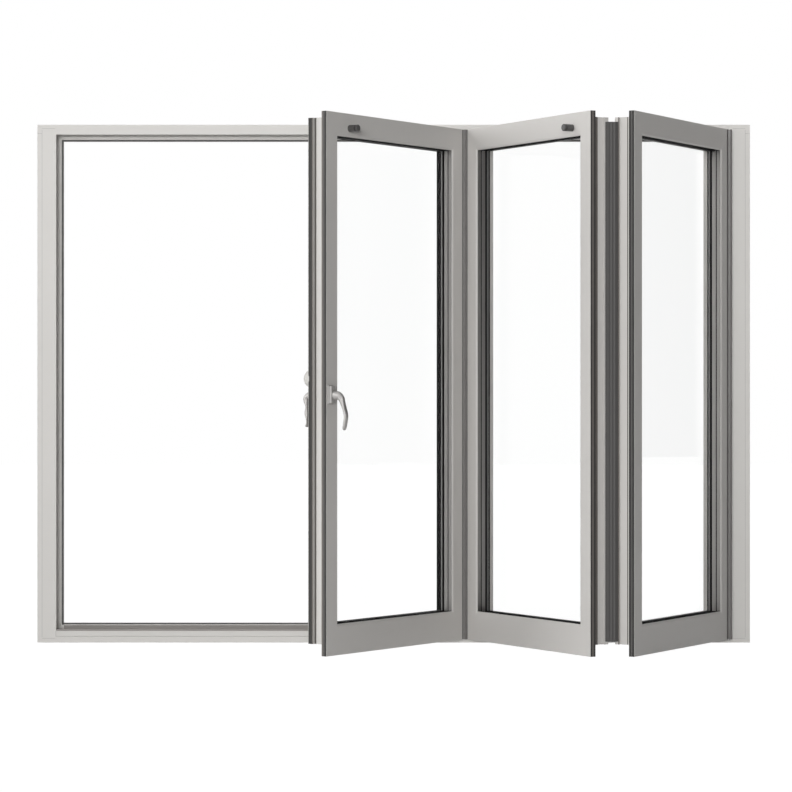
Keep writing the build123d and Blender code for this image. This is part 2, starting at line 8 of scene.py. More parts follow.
import bmesh
import bpy
from bpy.props import FloatProperty, FloatVectorProperty, IntProperty, PointerProperty
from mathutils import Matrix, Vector


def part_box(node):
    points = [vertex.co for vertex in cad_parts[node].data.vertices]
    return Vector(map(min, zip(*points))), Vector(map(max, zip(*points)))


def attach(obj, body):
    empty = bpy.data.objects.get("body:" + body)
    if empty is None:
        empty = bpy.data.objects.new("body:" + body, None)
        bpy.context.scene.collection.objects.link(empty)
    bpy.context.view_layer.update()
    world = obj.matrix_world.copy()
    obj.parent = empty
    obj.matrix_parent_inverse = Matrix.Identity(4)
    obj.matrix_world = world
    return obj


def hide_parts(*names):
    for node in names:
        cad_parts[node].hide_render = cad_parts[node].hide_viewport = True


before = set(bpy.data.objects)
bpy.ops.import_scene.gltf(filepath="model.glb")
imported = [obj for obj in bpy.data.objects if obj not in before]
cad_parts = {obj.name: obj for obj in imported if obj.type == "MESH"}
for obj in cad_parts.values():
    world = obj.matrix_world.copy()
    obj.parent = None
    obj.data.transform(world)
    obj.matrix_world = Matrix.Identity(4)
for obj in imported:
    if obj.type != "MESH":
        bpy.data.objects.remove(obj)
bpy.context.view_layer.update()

bl_info = {
    "name": "Folding Door Looks",
    "version": (1, 0, 0),
    "blender": (4, 5, 0),
    "location": "View3D > Sidebar > Folding Door",
    "description": "Finishes, glazing, seals, fixings, floor, light and camera of a folding door",
    "category": "Object",
}

MM = 0.001
DOOR = "door"
HANDLE_SET = "handle_set"

# The leaves' sections and places, as the CAD model has them
FRAME_DEPTH = 82 * MM
LEAF_DEPTH = 82 * MM
FLANGE_DEPTH = 23 * MM
FLANGE_FRONT = 25 * MM
HINGE_PROUD = 8 * MM
HINGE_GAP = 5 * MM
NARROW_LEAF = 898 * MM
WIDE_LEAF = 934 * MM
FOLD_ANGLE = math.radians(60.3)
TRAFFIC_ANGLE = math.radians(55.3)
HINGE_Y = -FRAME_DEPTH / 2 - FLANGE_FRONT - HINGE_PROUD
REAR_HINGE_PROUD = 12 * MM
REAR_HINGE_GAP = 3 * MM
FOLD_REACH = ((HINGE_GAP + NARROW_LEAF + REAR_HINGE_GAP) * math.cos(FOLD_ANGLE)
              + (HINGE_PROUD + LEAF_DEPTH + REAR_HINGE_PROUD) * math.sin(FOLD_ANGLE))
JAMB_HINGE = Vector((1363.3 * MM, HINGE_Y, 0))
MEETING_HINGE = JAMB_HINGE - Vector((2 * FOLD_REACH, 0, 0))
STILE_FACE = 74 * MM
STILE_LAP = 9 * MM
LEG_LAP = 1 * MM
LEG_START = 64 * MM
LOCK_GROOVE = 48 * MM
LOCK_GROOVE_DEPTH = 5 * MM
BOTTOM_LAP = 44 * MM
TOP_LAP = 23 * MM
GLASS_PLACE = 46 * MM
GLASS_DEPTH = 14 * MM
GLASS_REACH = 11 * MM
BEAD_PLACE = 63 * MM
BEAD_BEVEL = 5 * MM
FLANGE_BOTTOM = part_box("traffic_leaf_bottom_rail")[0][2]
FLANGE_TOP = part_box("traffic_leaf_top_rail")[1][2]
SIGHT_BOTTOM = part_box("traffic_leaf_bottom_rail")[1][2]
SIGHT_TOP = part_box("traffic_leaf_top_rail")[0][2]
FOLD_HINGE_PLATE = 4 * MM
FOLD_HINGE_END = 314 * MM
FOLD_HINGE_HEIGHTS = (FLANGE_BOTTOM + FOLD_HINGE_END, (FLANGE_BOTTOM + FLANGE_TOP) / 2,
                      FLANGE_TOP - FOLD_HINGE_END)


class LeafPlace:
    """A leaf's place in plan: u runs to the right seen from its front, t to its rear."""

    def __init__(self, name, width, angle, hinge, hinge_on_right):
        slope = math.sin(angle) if hinge_on_right else -math.sin(angle)
        self.name = name
        self.width = width
        self.hinge_on_right = hinge_on_right
        self.u = Vector((math.cos(angle), slope, 0))
        self.t = Vector((-slope, math.cos(angle), 0))
        start = -HINGE_GAP - width if hinge_on_right else HINGE_GAP
        self.origin = hinge + self.u * start + self.t * HINGE_PROUD

    def at(self, u, t, z):
        return self.origin + self.u * u + self.t * t + Vector((0, 0, z))

    def turn(self):
        return math.atan2(self.u.y, self.u.x)


TRAFFIC = LeafPlace("traffic_leaf", WIDE_LEAF, TRAFFIC_ANGLE, MEETING_HINGE, True)
MIDDLE = LeafPlace("middle_leaf", NARROW_LEAF, FOLD_ANGLE, MEETING_HINGE, False)
END = LeafPlace("end_leaf", NARROW_LEAF, FOLD_ANGLE, JAMB_HINGE, True)
LEAVES = (TRAFFIC, MIDDLE, END)

# Front lever in millimetres: its path (out from the leaf, up), the radii of its bends, and
# how far it reaches to the inside, the outside and each side at shares of its length
SPINDLE_INSET = 18 * MM
LEVER_POINTS = ((19.4, 1000), (55, 1000), (80, 926), (69, 871))
LEVER_RADII = (20, 60)
LEVER_STATIONS = (
    (0, 14, 20, 11), (0.12, 14.5, 18, 11), (0.24, 15, 12, 11), (0.38, 10, 8.5, 11),
    (0.5, 7.5, 7, 11), (0.9, 6.5, 6.5, 11), (0.96, 5.8, 5.8, 10), (0.99, 4, 4, 7.5),
    (1, 2, 2, 4))

# Seals on the leaves' near edges. Each leaf has three, front to rear, in these finishes, and a
# carrier behind them that ends at this depth. The seals are dark rubber; the lighter rubber and
# carrier greys that some bands get, leaf by leaf, are painted sheen on their ribs
SEAL_MARGIN = 1 * MM
CARRIER_LAP = 4 * MM
CARRIER_LIP = 2 * MM
EDGE_SEALS = (
    (TRAFFIC, ("edge", "rubber", "carrier"), 29 * MM),
    (MIDDLE, ("edge", "carrier", "edge"), 38 * MM),
    (END, ("edge", "rubber", "edge"), 26 * MM))
# Thin dark strips on the end leaf's edge: in from the edge, and from and to the depth. The one at
# the rear leg's root is painted shadow
END_STRIPS = ((STILE_LAP, 31 * MM, 34.5 * MM), (LEG_LAP, LEG_START, 68 * MM))
# The ribs in the lock groove stand for the lock's parts; their brown is painted shade
LOCK_LIP = 7 * MM
LOCK_RIB = 4 * MM
REAR_SEAL = (69.5 * MM, 85.5 * MM)
REAR_LIP_END = 87.5 * MM
REAR_LIP_WIDTH = 10 * MM
BEVEL = 1 * MM
REAR_BEVEL = 0.8 * MM

# Share of a rib's pitch and share of its height, along the rounded outline of one rib
RIB_SHAPE = ((0.12, 0.35), (0.25, 0.9), (0.5, 1.0), (0.75, 0.9), (0.88, 0.35))

# Boxes on the frame in millimetres: x from and to, depth behind the frame's front face from
# and to, z from and to
# The sill's boxes are a thin darker film on its top and upstand: painted shade
SILL_SHADE_BOXES = (
    (-1368, 1334, -0.3, 1.5, 47, 49), (-1368, 1334, -0.3, 2.7, 49, 55),
    (-1368, 1334, 2.7, 21, 49, 49.4), (-1368, 1334, 31, 60, 49, 49.4),
    (-1345, 1334, 60, 64.6, 49, 49.4), (-1345, 1345, 64.6, 65, 49, 62.5),
    (-1345, 1345, 59.6, 60, 62.5, 68))
RIB_BOXES = (
    (-1369, -1365, 59.7, 66, 75, 2035), (-1361, -1357, 59.6, 60.2, 75, 2040),
    (-1345, 1345, 56.6, 59.6, 66, 69.6))

# Hairline joints on the frame's front face in millimetres, from (x, z) to (x, z). Each of the
# side joints has a mirror image on the left
JOINT_FILM = 0.12
SILL_JOINTS = ((-1371, 25.4, -1371, 49), (-1371, 25.4, 1335, 25.4))
SIDE_JOINTS = (
    (1426, 22.5, 1426, 2079), (1426, 2064.7, 1444.5, 2064.7), (1374, 2085, 1426, 2085),
    (1374, 16.9, 1426, 16.9))

# Trims on the inside faces of the leaves' openings, at these depths. On the openings' top and
# bottom faces black films take the trim's place, the trim's dark with painted shade on it, and the
# black fill in the groove between the bands is painted shade
TRIM_FILM = 0.5 * MM
TRIM_BANDS = ((4 * MM, 19 * MM), (23.5 * MM, 40 * MM))
GROOVE_SHADE_FILL = 2.4 * MM
GROOVE_SHADE_BAND = (19.2 * MM, 23.3 * MM)

# Strips beside the hinge barrels. At the meeting hinge they are dark rubber with the shade of the
# gaps beside the barrel painted in
HINGE_FILM = 0.4 * MM
HINGE_MARGIN = 0.4 * MM
HINGE_SHADE_STRIPS = ((TRAFFIC, 3 * MM), (MIDDLE, 2 * MM))
JAMB_COVER = 15 * MM
END_MARGIN = 1 * MM

# Screw heads as shares of their radius: the reach and height of the head's rings and of its
# recess's rings, and how far the six corners of the recess stand out
HEAD_RINGS = ((1.0, 0.0), (1.0, 0.12), (0.88, 0.26))
RECESS_RINGS = ((0.44, 0.3), (0.40, 0.05))
RECESS_SIDES = 6
RECESS_CORNER = 1.12
HEAD_SIDES = 3 * RECESS_SIDES
SCREW_INSET = LEG_LAP + 30 * MM
SCREW_SEED = 5

# Looks that no property sets
JOINT_GREY = (0.3, 0.295, 0.285)
SPACER_GREY = (0.2, 0.2, 0.195)
RELIEF_DEPTH = 0.2 * MM
GLASS_IOR = 1.08
GLASS_CLOUD = 0.995

# Floor, world and camera. Between two directions (-1 left, 1 right) the fill goes from one
# share of its strength to another, and so does the white that reflections show
FLOOR_REACH = 30
FLOOR_DROP = 0.5 * MM
FLOOR_TONE = (0.85, 0.85, 0.85, 1)
FLOOR_ROUGHNESS = 0.9
FLOOR_GLOW = 1.1
FLOOR_GLOW_SHARE = 0.9
FILL_SPAN = (-0.6, 0.6)
FILL_SHARES = (1.3, 0.1)
WHITE_SPAN = (-0.2, 0.7)
WHITE_SHARES = (1.0, 0.03)
SUN_DISTANCE = 10
SENSOR = 36.0
CLIP_END = 100


# Properties

class FinishSettings(bpy.types.PropertyGroup):
    """Colours of the door's finishes."""

    frame_coat: FloatVectorProperty(
        name="Frame coat", description="Light grey coat of the fixed frame",
        subtype="COLOR", size=3, min=0, max=1, default=(0.68, 0.664, 0.637))
    # The leaf coat is the frame's paint made darker: painted shade on the leaves, which share one
    # paint with the frame
    shaded_leaf_coat: FloatVectorProperty(
        name="Leaf coat", description="Slightly darker grey coat of the leaves",
        subtype="COLOR", size=3, min=0, max=1, default=(0.625, 0.607, 0.585))
    coat_roughness: FloatProperty(
        name="Coat roughness", description="Roughness of the satin coat",
        subtype="FACTOR", min=0, max=1, default=0.42)
    edge: FloatVectorProperty(
        name="Edge seal", description="Dark seal round the edges of the leaves",
        subtype="COLOR", size=3, min=0, max=1, default=(0.055, 0.053, 0.051))
    rubber: FloatVectorProperty(
        name="Rubber", description="Dark rubber of the frame's and the fold's seals",
        subtype="COLOR", size=3, min=0, max=1, default=(0.082, 0.079, 0.077))
    # The carriers' brown also paints shade in the lock groove and on the end leaf's edge, and
    # sheen on some edge seal bands
    carrier: FloatVectorProperty(
        name="Carriers", description="Brownish strips that hold the seals",
        subtype="COLOR", size=3, min=0, max=1, default=(0.14, 0.127, 0.115))
    # The threshold grey is painted shade on the sill's top and upstand
    threshold: FloatVectorProperty(
        name="Threshold", description="Mid grey cover on the sill",
        subtype="COLOR", size=3, min=0, max=1, default=(0.33, 0.31, 0.295))
    trim: FloatVectorProperty(
        name="Reveal trim", description="Dark glossy trim inside the leaves' openings",
        subtype="COLOR", size=3, min=0, max=1, default=(0.25, 0.241, 0.233))
    hinge: FloatVectorProperty(
        name="Hinges", description="Dark grey of the hinges and of the cover beside the jamb",
        subtype="COLOR", size=3, min=0, max=1, default=(0.14, 0.132, 0.128))
    plate: FloatVectorProperty(
        name="Plates", description="Mid grey of the front handle plate",
        subtype="COLOR", size=3, min=0, max=1, default=(0.41, 0.398, 0.385))
    # The same black also paints shade on the openings' top and bottom faces, in their groove and
    # at the traffic leaf's rear
    gasket: FloatVectorProperty(
        name="Glazing gasket", description="Black gasket round the glass",
        subtype="COLOR", size=3, min=0, max=1, default=(0.004, 0.004, 0.004))
    steel: FloatVectorProperty(
        name="Satin steel", description="Brushed steel of the levers and the fold hinges",
        subtype="COLOR", size=3, min=0, max=1, default=(0.37, 0.36, 0.35))
    catch: FloatVectorProperty(
        name="Catch", description="Dark plastic of the catches",
        subtype="COLOR", size=3, min=0, max=1, default=(0.075, 0.072, 0.070))
    glass: FloatVectorProperty(
        name="Glass", description="Clear glass",
        subtype="COLOR", size=3, min=0, max=1, default=(0.998, 1.0, 0.999))
    glass_shade: FloatProperty(
        name="Glass shade", description="Share of the lamps' light that each face of a pane stops",
        subtype="FACTOR", min=0, max=1, default=0.2)


class PieceSettings(bpy.types.PropertyGroup):
    """Sizes of the pieces that dress the CAD model."""

    pane: FloatProperty(
        name="Pane", description="Thickness of each glass pane",
        subtype="DISTANCE", unit="LENGTH", default=4 * MM)
    spacer: FloatProperty(
        name="Spacer", description="Height of the spacer bar above the gasket line",
        subtype="DISTANCE", unit="LENGTH", default=1 * MM)
    edge_film: FloatProperty(
        name="Edge seal", description="Thickness of the seal on a leaf's edge",
        subtype="DISTANCE", unit="LENGTH", default=0.8 * MM)
    screw_radius: FloatProperty(
        name="Screw head", description="Radius of a hinge screw's head",
        subtype="DISTANCE", unit="LENGTH", default=4.2 * MM)
    screws: IntProperty(
        name="Screws", description="Screws in each plate of a hinge", default=3, min=1)
    screw_step: FloatProperty(
        name="Screw spacing", description="Distance from screw to screw",
        subtype="DISTANCE", unit="LENGTH", default=46 * MM)
    joint_width: FloatProperty(
        name="Joint", description="Width of the hairline joints between the frame's profiles",
        subtype="DISTANCE", unit="LENGTH", default=0.8 * MM)


class StageSettings(bpy.types.PropertyGroup):
    """Camera, lamps and floor."""

    camera_x: FloatProperty(
        name="Camera across", description="The camera's place along the frame",
        subtype="DISTANCE", unit="LENGTH", default=9.5 * MM)
    camera_y: FloatProperty(
        name="Camera distance", description="The camera's place in front of the door",
        subtype="DISTANCE", unit="LENGTH", default=-11.623)
    camera_z: FloatProperty(
        name="Camera height", description="The camera's height above the floor",
        subtype="DISTANCE", unit="LENGTH", default=1.0)
    lens: FloatProperty(
        name="Lens", description="Focal length on a 36 mm sensor, in millimetres", default=129.8)
    key_strength: FloatProperty(
        name="Front light", description="Strength of the soft light from the front", default=2.14)
    key_side: FloatProperty(
        name="Front light's side", description="How far left of the front it stands",
        subtype="ANGLE", unit="ROTATION", default=math.radians(8))
    side_strength: FloatProperty(
        name="Left light", description="Strength of the soft light from the left", default=1.95)
    side_side: FloatProperty(
        name="Left light's side", description="How far left of the front it stands",
        subtype="ANGLE", unit="ROTATION", default=math.radians(85))
    top_strength: FloatProperty(
        name="Top light", description="Strength of the soft light from above", default=0.15)
    low_strength: FloatProperty(
        name="Low light", description="Power of the panel light near the floor, in watts",
        default=1.4)
    high_strength: FloatProperty(
        name="High light", description="Power of the panel light above the leaves, in watts",
        default=1.4)
    rear_strength: FloatProperty(
        name="Rear light", description="Strength of the soft light on the rear", default=0.7)
    world_fill: FloatProperty(
        name="Fill", description="Strength of the light from all round", default=0.11)


# Node helpers

def feed(tree, value, socket):
    """Gives a socket a value, or a link from another node's socket."""
    if isinstance(value, bpy.types.NodeSocket):
        tree.links.new(value, socket)
    else:
        socket.default_value = value


def add_node(tree, kind, sources=None, **more):
    """Adds a node and feeds its inputs, named by label or number, with values or sockets."""
    node = tree.nodes.new(kind)
    for label, value in {**(sources or {}), **more}.items():
        feed(tree, value, node.inputs[label])
    return node


def math_node(tree, operation, *values):
    """Adds a math node on values or other nodes' sockets. Returns its result."""
    node = add_node(tree, "ShaderNodeMath", dict(enumerate(values)))
    node.operation = operation
    return node.outputs[0]


def noise(tree, vector, scale, detail):
    """Adds a noise texture and returns its result."""
    return add_node(tree, "ShaderNodeTexNoise", Vector=vector, Scale=scale,
                    Detail=detail).outputs["Fac"]


def map_range(tree, value, span, results):
    """Maps a socket's values from one range to another, each given as a low and a high."""
    labels = ("From Min", "From Max", "To Min", "To Max")
    return add_node(tree, "ShaderNodeMapRange", dict(zip(labels, (*span, *results))),
                    Value=value).outputs[0]


def surface_group(name, roughness, tone, grain):
    """A new shader node group with the sockets of a surface, and its two end nodes."""
    group = bpy.data.node_groups.new(name, "ShaderNodeTree")
    kinds = {"Color": "NodeSocketColor"}
    for label, value in (("Color", (0.6, 0.6, 0.6, 1)), ("Roughness", roughness),
                         ("Tone", tone), ("Grain", grain)):
        item = group.interface.new_socket(name=label, in_out="INPUT",
                                          socket_type=kinds.get(label, "NodeSocketFloat"))
        item.default_value = value
    for label in ("Color", "Roughness", "Height"):
        group.interface.new_socket(name=label, in_out="OUTPUT",
                                   socket_type=kinds.get(label, "NodeSocketFloat"))
    return group, group.nodes.new("NodeGroupInput"), group.nodes.new("NodeGroupOutput")


def fill_surface(group, inputs, outputs, pattern, relief, spread):
    """Lets a pattern vary a surface's colour and roughness, and a relief give its height."""
    centre = math_node(group, "SUBTRACT", pattern, 0.5)
    shade = add_node(group, "ShaderNodeVectorMath", {0: inputs.outputs["Color"]})
    shade.operation = "SCALE"
    feed(group, math_node(group, "MULTIPLY_ADD", centre, inputs.outputs["Tone"], 1.0),
         shade.inputs["Scale"])
    rough = math_node(group, "MULTIPLY_ADD", centre, spread, inputs.outputs["Roughness"])
    for label, source in (("Color", shade.outputs[0]), ("Roughness", rough), ("Height", relief)):
        feed(group, source, outputs.inputs[label])


def satin_coat_group():
    """Powder coat: cloudy tone, fine orange peel, and a roughness that follows the clouds."""
    group, inputs, outputs = surface_group("satin_coat", roughness=0.4, tone=0.03, grain=900.0)
    place = group.nodes.new("ShaderNodeTexCoord").outputs["Object"]
    cloud = noise(group, place, scale=2.2, detail=3)
    peel = noise(group, place, scale=inputs.outputs["Grain"], detail=2)
    fill_surface(group, inputs, outputs, cloud, peel, spread=0.12)
    return group


def brushed_group():
    """Brushing: fine streaks along Z that vary the tone, the roughness and the height."""
    group, inputs, outputs = surface_group("brushing", roughness=0.3, tone=0.08, grain=700.0)
    place = group.nodes.new("ShaderNodeTexCoord").outputs["Object"]
    stretch = add_node(group, "ShaderNodeMapping", Vector=place, Scale=(1, 1, 0.03))
    streak = noise(group, stretch.outputs[0], scale=inputs.outputs["Grain"], detail=3)
    fill_surface(group, inputs, outputs, streak, streak, spread=0.2)
    return group


def shader_material(name):
    """A new material with its node tree and its main shader node."""
    material = bpy.data.materials.new(name)
    material.use_nodes = True
    tree = material.node_tree
    return material, tree, tree.nodes["Principled BSDF"]


def finish_material(name, group, color, roughness, metallic, tone, grain, bump, edge, specular):
    """A material that takes its surface from a node group, with softly rounded edges."""
    material, tree, shader = shader_material(name)
    surface = tree.nodes.new("ShaderNodeGroup")
    surface.node_tree = group
    for socket, value in zip(surface.inputs, ((*color, 1), roughness, tone, grain)):
        socket.default_value = value
    soften = add_node(tree, "ShaderNodeBevel", Radius=edge * MM)
    soften.samples = 4
    relief = add_node(tree, "ShaderNodeBump", Strength=bump, Distance=RELIEF_DEPTH,
                      Height=surface.outputs["Height"], Normal=soften.outputs["Normal"])
    for label, value in (("Base Color", surface.outputs["Color"]),
                         ("Roughness", surface.outputs["Roughness"]),
                         ("Normal", relief.outputs["Normal"]), ("Metallic", metallic),
                         ("Specular IOR Level", specular)):
        feed(tree, value, shader.inputs[label])
    return material


def glass_material(name, color, shade):
    """Clear glass with a faint tint, each face of which takes a share of the light."""
    material, tree, shader = shader_material(name)
    place = tree.nodes.new("ShaderNodeTexCoord").outputs["Object"]
    path = tree.nodes.new("ShaderNodeLightPath")
    tint = tree.nodes.new("ShaderNodeMix")
    tint.data_type = "RGBA"
    tint.inputs["A"].default_value = (*color, 1)
    tint.inputs["B"].default_value = (*(part * GLASS_CLOUD for part in color), 1)
    feed(tree, noise(tree, place, scale=1.5, detail=2), tint.inputs["Factor"])
    veil = math_node(tree, "MULTIPLY_ADD", path.outputs["Is Shadow Ray"], shade - 1.0, 1.0)
    for label, value in (("Transmission Weight", 1.0), ("Roughness", 0.0), ("IOR", GLASS_IOR),
                         ("Base Color", tint.outputs["Result"]), ("Alpha", veil)):
        feed(tree, value, shader.inputs[label])
    return material


def make_materials(finish):
    """Every finish of the door, by its plain name.

    A row holds the finish, its material's name, node group, colour, roughness, metallic, tone,
    grain, bump, edge radius in millimetres and specular level.
    """
    coat, brushing = satin_coat_group(), brushed_group()
    made = {}
    for key, name, *values in (
            ("frame", "frame_grey_coat", coat, finish.frame_coat, finish.coat_roughness, 0,
             0.03, 900, 0.12, 0.8, 0.3),
            # The leaves' coat is a darker copy of the frame's: painted shade
            ("leaf", "leaf_grey_coat", coat, finish.shaded_leaf_coat, finish.coat_roughness, 0,
             0.03, 900, 0.12, 0.8, 0.3),
            ("trim", "dark_reveal_trim", coat, finish.trim, 0.35, 0.9, 0.1, 700, 0.02, 0.3, 0.5),
            ("edge", "dark_edge_seal", coat, finish.edge, 0.7, 0, 0.15, 500, 0.1, 0.8, 0.2),
            ("rubber", "dark_rubber", coat, finish.rubber, 0.65, 0, 0.2, 400, 0.3, 0.8, 0.5),
            ("carrier", "seal_carrier", coat, finish.carrier, 0.55, 0, 0.15, 600, 0.2, 0.4, 0.5),
            ("threshold", "threshold_grey", coat, finish.threshold, 0.7, 0,
             0.08, 500, 0.2, 0.2, 0.5),
            ("plate", "handle_plate_grey", coat, finish.plate, 0.4, 0, 0.05, 900, 0.08, 0.4, 0.5),
            ("joint", "joint_grey", coat, JOINT_GREY, 0.6, 0, 0.1, 500, 0.05, 0.05, 0.5),
            ("gasket", "black_gasket", coat, finish.gasket, 0.8, 0, 0.2, 500, 0.1, 0.4, 0.08),
            ("steel", "satin_steel", brushing, finish.steel, 0.46, 0.6,
             0.06, 900, 0.03, 0.5, 0.5),
            ("hinge", "hinge_grey", coat, finish.hinge, 0.4, 0, 0.05, 900, 0.1, 0.4, 0.5),
            ("spacer", "spacer_bar", brushing, SPACER_GREY, 0.5, 0.6, 0.06, 300, 0.05, 0.2, 0.5),
            ("catch", "catch_plastic", coat, finish.catch, 0.38, 0, 0.1, 1200, 0.1, 0.5, 0.5)):
        made[key] = finish_material(name, *values)
    made["glass"] = glass_material("clear_glass", finish.glass, finish.glass_shade)
    return made


MATERIALS = {}

# Finishes of the CAD nodes whose names don't already tell
NODE_FINISH = {
    **dict.fromkeys(("frame_seal", "fold_seal"), "rubber"),
    **dict.fromkeys(("meeting_hinge", "jamb_hinge"), "hinge"),
    **dict.fromkeys(("fold_hinges", "front_lever", "rear_lever", "rear_handle_plate",
                     "handle_spindle", "top_carriage", "bottom_carriage", "sill_rail"), "steel"),
    **dict.fromkeys(("traffic_leaf_catch", "middle_leaf_catch"), "catch"),
    "front_handle_plate": "plate",
    "rear_knob": "frame",
}


# Mesh helpers

def new_piece(name, mesh, material, body=DOOR):
    """Links a mesh to the scene as a finished piece that rides on a body."""
    piece = bpy.data.objects.new(name, mesh)
    bpy.context.scene.collection.objects.link(piece)
    mesh.materials.clear()
    mesh.materials.append(MATERIALS[material])
    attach(piece, body)
    return piece


def shaped_piece(name, shape, material, body=DOOR):
    """Turns a bmesh into a finished piece."""
    return new_piece(name, finish_mesh(name, shape), material, body)


def finish_mesh(name, shape):
    """Turns a bmesh into a mesh with its faces pointing outwards."""
    bmesh.ops.recalc_face_normals(shape, faces=shape.faces)
    mesh = bpy.data.meshes.new(name)
    shape.to_mesh(mesh)
    shape.free()
    return mesh


def add_skin(shape, rings, smooth=False):
    """Adds a closed body to a bmesh, through rings that have the same number of corners."""
    rings = [[shape.verts.new(corner) for corner in ring] for ring in rings]
    for first, second in zip(rings, rings[1:]):
        for index in range(len(first)):
            after = (index + 1) % len(first)
            face = shape.faces.new((first[index], first[after], second[after], second[index]))
            face.smooth = smooth
    shape.faces.new(list(reversed(rings[0])))
    shape.faces.new(rings[-1])


def add_prism(shape, corners, reach):
    """Adds a closed prism to a bmesh: a ring of corners pushed along a vector."""
    add_skin(shape, (corners, [corner + reach for corner in corners]))


def add_boxes(shape, boxes):
    """Adds boxes on the frame, given as in SILL_SHADE_BOXES."""
    front = Vector((0, FRAME_DEPTH / 2, 0))
    for x0, x1, d0, d1, z0, z1 in boxes:
        corners = [Vector((x, d, z0)) * MM - front
                   for x, d in ((x0, d0), (x1, d0), (x1, d1), (x0, d1))]
        add_prism(shape, corners, Vector((0, 0, (z1 - z0) * MM)))


def rounded_path(points, radii, steps=6):
    """Points along a polyline in a plane whose inner corners are rounded off."""
    corners = [Vector(point) for point in points]
    line = [corners[0]]
    for before, corner, after, radius in zip(corners, corners[1:], corners[2:], radii):
        back, on = (before - corner).normalized(), (after - corner).normalized()
        setback = radius / math.tan(back.angle(on) / 2)
        start, stop = corner + back * setback, corner + on * setback
        for step in range(steps + 1):
            share = step / steps
            line.append(start * (1 - share) ** 2 + corner * 2 * share * (1 - share)
                        + stop * share ** 2)
    line.append(corners[-1])
    return line


def between(stations, share):
    """Values at a share of the way, from a table of (share, value, value, ...) rows."""
    for low, high in zip(stations, stations[1:]):
        if share <= high[0]:
            mix = (share - low[0]) / (high[0] - low[0])
            mix = mix * mix * (3 - 2 * mix)
            return [a + (b - a) * mix for a, b in zip(low[1:], high[1:])]
    return list(stations[-1][1:])


def bent_bar(shape, place, line, stations, count=40, sides=24, crowding=1.4):
    """Sweeps ovals along a line; each station gives the inner, outer and side reach.

    A crowding above 1 sets the ovals closer towards the line's end.
    """
    lengths = [0.0]
    for a, b in zip(line, line[1:]):
        lengths.append(lengths[-1] + (b - a).length)
    rings = []
    for step in range(count + 1):
        share = 1 - (1 - step / count) ** crowding
        along = share * lengths[-1]
        index = max(i for i, length in enumerate(lengths[:-1]) if length <= along)
        a, b = line[index], line[index + 1]
        point = a + (b - a) * ((along - lengths[index]) / (b - a).length)
        ahead = (b - a).normalized()
        inner, outer, side = between(stations, share)
        ring = []
        for turn in range(sides):
            angle = 2 * math.pi * turn / sides
            lift = (outer + inner) / 2 * math.cos(angle) + (outer - inner) / 2
            out, up = point.x - ahead.y * lift, point.y + ahead.x * lift
            ring.append(place(side * math.sin(angle), out, up))
        rings.append(ring)
    add_skin(shape, rings, smooth=True)


def leaf_bar(shape, leaf, u_range, t_range, z_range):
    """Adds a bar with its sides along a leaf's own directions."""
    (u0, u1), (t0, t1), (z0, z1) = u_range, t_range, z_range
    corners = [leaf.at(u0, t0, z0), leaf.at(u1, t0, z0), leaf.at(u1, t1, z0), leaf.at(u0, t1, z0)]
    add_prism(shape, corners, Vector((0, 0, z1 - z0)))


# Bars of a ring round the glazing: bottom, right, top and left
ALL_SIDES = (0, 1, 2, 3)
LEVEL_SIDES = (0, 2)
UPRIGHT_SIDES = (1, 3)


def leaf_ring(shape, leaf, inset, width, t_range, z_low, z_high, sides=ALL_SIDES):
    """Adds a flat mitred ring round the glazing, or only its level or upright bars."""
    outer = (inset, leaf.width - inset, z_low, z_high)
    inner = (inset + width, leaf.width - inset - width, z_low + width, z_high - width)
    corner = ((0, 2), (1, 2), (1, 3), (0, 3))
    reach = leaf.t * (t_range[1] - t_range[0])
    for index in sides:
        a, b = corner[index], corner[(index + 1) % 4]
        ring = [leaf.at(edge[u], t_range[0], edge[z])
                for edge, (u, z) in ((outer, a), (outer, b), (inner, b), (inner, a))]
        add_prism(shape, ring, reach)


# Operators

class FOLDING_DOOR_OT_finishes(bpy.types.Operator):
    """Gives every CAD piece its finish."""

    bl_idname = "folding_door.finishes"
    bl_label = "Finishes"

    def execute(self, context):
        MATERIALS.update(make_materials(context.scene.folding_door_finish))
        for name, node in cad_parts.items():
            finish = NODE_FINISH.get(name, "leaf" if "leaf" in name else "frame")
            if name.endswith("gaskets"):
                finish = "gasket"
            if name.endswith("glass"):
                finish = "glass"
            node.data.materials.clear()
            node.data.materials.append(MATERIALS[finish])
        return {"FINISHED"}


class FOLDING_DOOR_OT_glazing(bpy.types.Operator):
    """Makes each leaf's double glazed unit: two panes and the spacer bar between them."""

    bl_idname = "folding_door.glazing"
    bl_label = "Glazing"

    def execute(self, context):
        pane = context.scene.folding_door_pieces.pane
        low = SIGHT_BOTTOM - GLASS_REACH
        high = SIGHT_TOP + GLASS_REACH
        inset = STILE_FACE - GLASS_REACH
        for leaf in LEAVES:
            shape = bmesh.new()
            for start in (GLASS_PLACE, GLASS_PLACE + GLASS_DEPTH - pane):
                leaf_bar(shape, leaf, (inset, leaf.width - inset), (start, start + pane),
                         (low, high))
            panes = shaped_piece(f"{leaf.name}_panes", shape, "glass")
            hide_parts(f"{leaf.name}_glass")
            shape = bmesh.new()
            depth = (GLASS_PLACE + pane, GLASS_PLACE + GLASS_DEPTH - pane)
            spacer_width = GLASS_REACH + context.scene.folding_door_pieces.spacer
            leaf_ring(shape, leaf, inset, spacer_width, depth, low, high)
            shaped_piece(f"{leaf.name}_spacer", shape, "spacer")
        return {"FINISHED"}


